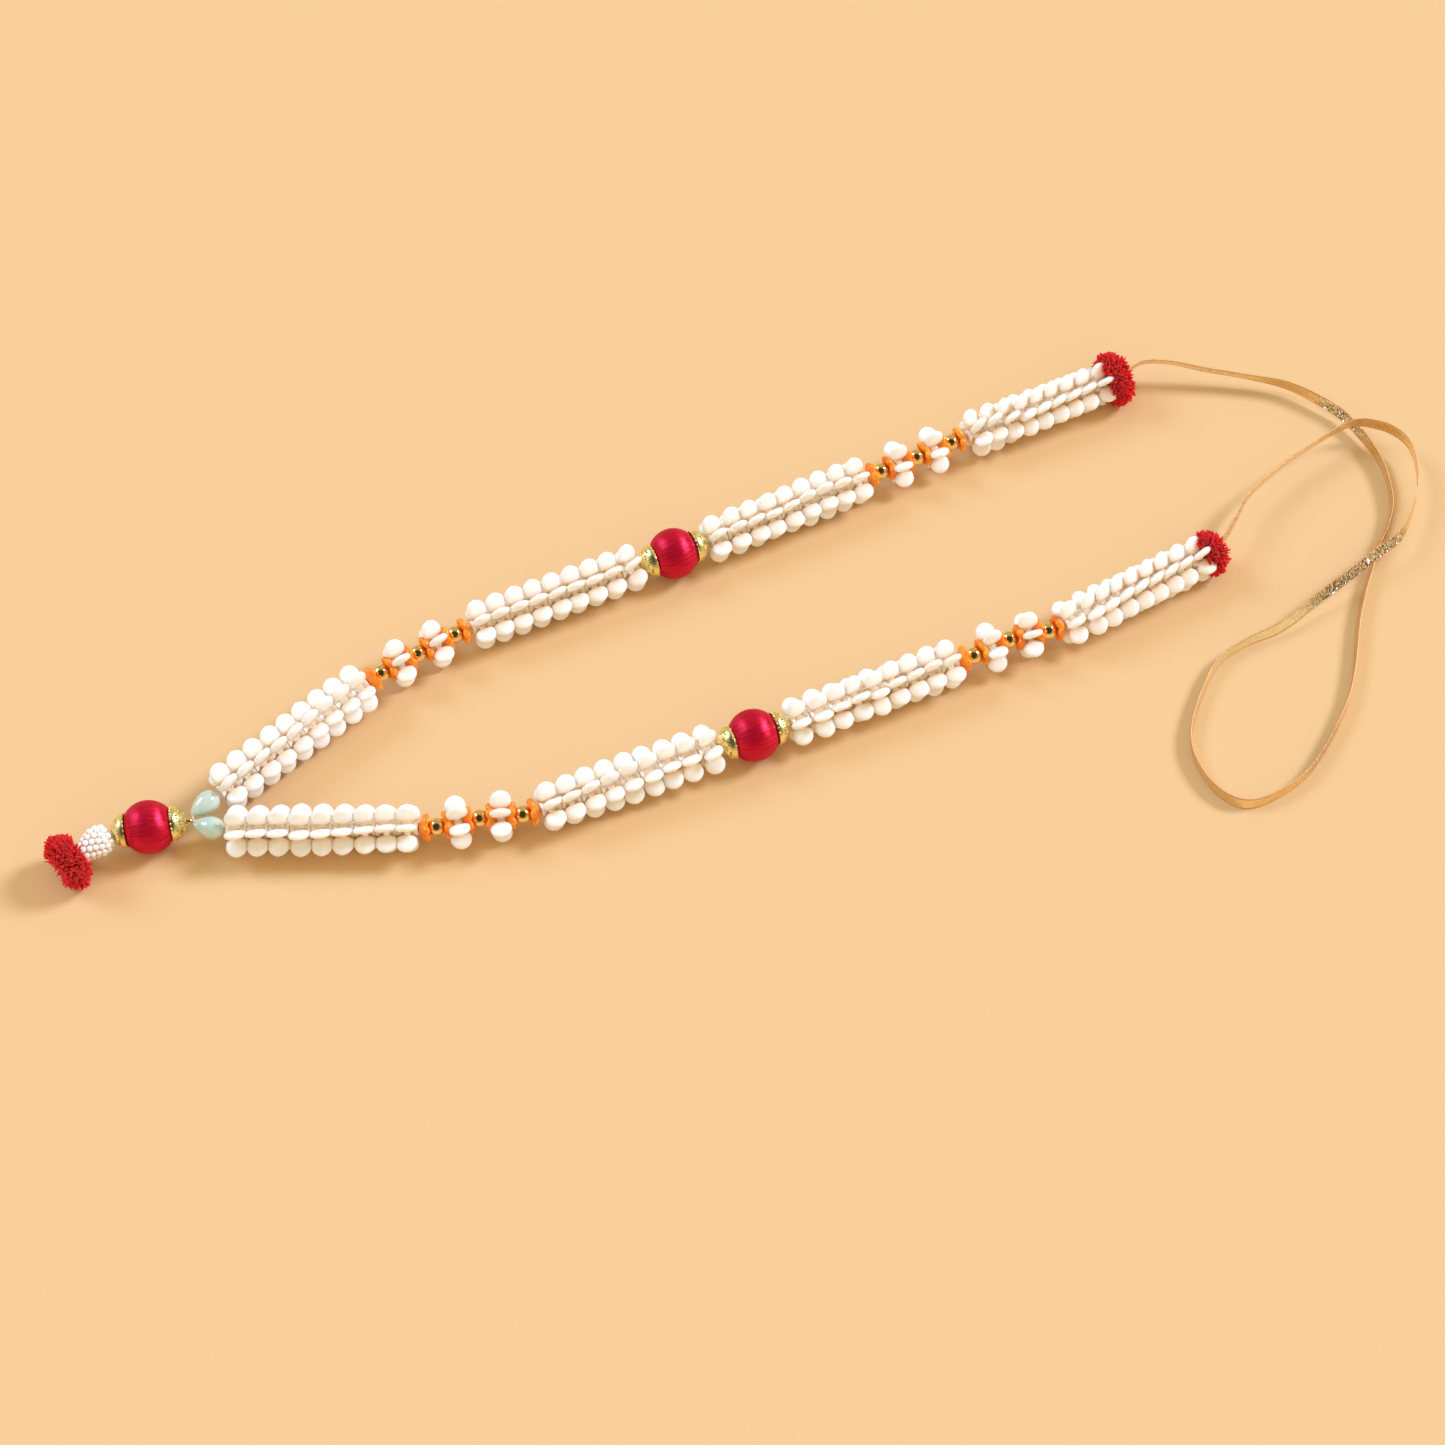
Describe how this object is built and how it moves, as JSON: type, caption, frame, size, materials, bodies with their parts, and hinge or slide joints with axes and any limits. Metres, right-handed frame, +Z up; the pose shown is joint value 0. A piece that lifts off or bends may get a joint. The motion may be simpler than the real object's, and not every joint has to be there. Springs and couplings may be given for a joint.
{
  "type": "flower garland",
  "caption": "Festive garland of moulded flower beads, gold beads and silk-wound balls in a V, with a beaded pendant at its point and a metallic ribbon joining its ends.",
  "frame": {"origin": "on the table, under the middle of the garland's box measured without its ribbon", "axes": "+X along the middle of the V from the pendant to the ribbon, +Y towards the strand that lies further from the camera in the picture, +Z up from the table"},
  "size_m": [0.5449, 0.2059, 0.022],
  "materials": {
    "ivory_plastic": "gloss",
    "orange_plastic": "gloss",
    "polished_gold": "polished",
    "gilt_cap": "satin",
    "crimson_silk": "satin",
    "pearl": "gloss",
    "seed_bead": "gloss",
    "wool": "matte",
    "thread": "matte",
    "lame_ribbon": "gloss"
  },
  "bodies": {
    "root": {"knot_bead": "polished_gold", "lower_ball": "crimson_silk", "lower_ball_cap_inner": "gilt_cap", "lower_ball_cap_outer": "gilt_cap", "lower_flower_run_1": "ivory_plastic", "lower_flower_run_2": "ivory_plastic", "lower_flower_run_3": "ivory_plastic", "lower_flower_run_4": "ivory_plastic", "lower_gold_bead_1": "polished_gold", "lower_gold_bead_2": "polished_gold", "lower_gold_bead_3": "polished_gold", "lower_gold_bead_4": "polished_gold", "lower_gold_bead_5": "polished_gold", "lower_gold_bead_6": "polished_gold", "lower_orange_flowers_1": "orange_plastic", "lower_orange_flowers_2": "orange_plastic", "lower_pearl": "pearl", "lower_pompom": "wool", "lower_spacer_flower_1": "ivory_plastic", "lower_spacer_flower_2": "ivory_plastic", "lower_spacer_flower_3": "ivory_plastic", "lower_spacer_flower_4": "ivory_plastic", "lower_thread": "thread", "pendant_ball": "crimson_silk", "pendant_ball_cap_inner": "gilt_cap", "pendant_ball_cap_outer": "gilt_cap", "pendant_pompom": "wool", "ribbon": "lame_ribbon", "seed_cluster": "seed_bead", "upper_ball": "crimson_silk", "upper_ball_cap_inner": "gilt_cap", "upper_ball_cap_outer": "gilt_cap", "upper_flower_run_1": "ivory_plastic", "upper_flower_run_2": "ivory_plastic", "upper_flower_run_3": "ivory_plastic", "upper_flower_run_4": "ivory_plastic", "upper_gold_bead_1": "polished_gold", "upper_gold_bead_2": "polished_gold", "upper_gold_bead_3": "polished_gold", "upper_gold_bead_4": "polished_gold", "upper_gold_bead_5": "polished_gold", "upper_gold_bead_6": "polished_gold", "upper_orange_flowers_1": "orange_plastic", "upper_orange_flowers_2": "orange_plastic", "upper_pearl": "pearl", "upper_pompom": "wool", "upper_spacer_flower_1": "ivory_plastic", "upper_spacer_flower_2": "ivory_plastic", "upper_spacer_flower_3": "ivory_plastic", "upper_spacer_flower_4": "ivory_plastic", "upper_thread": "thread"}
  },
  "joints": []
}
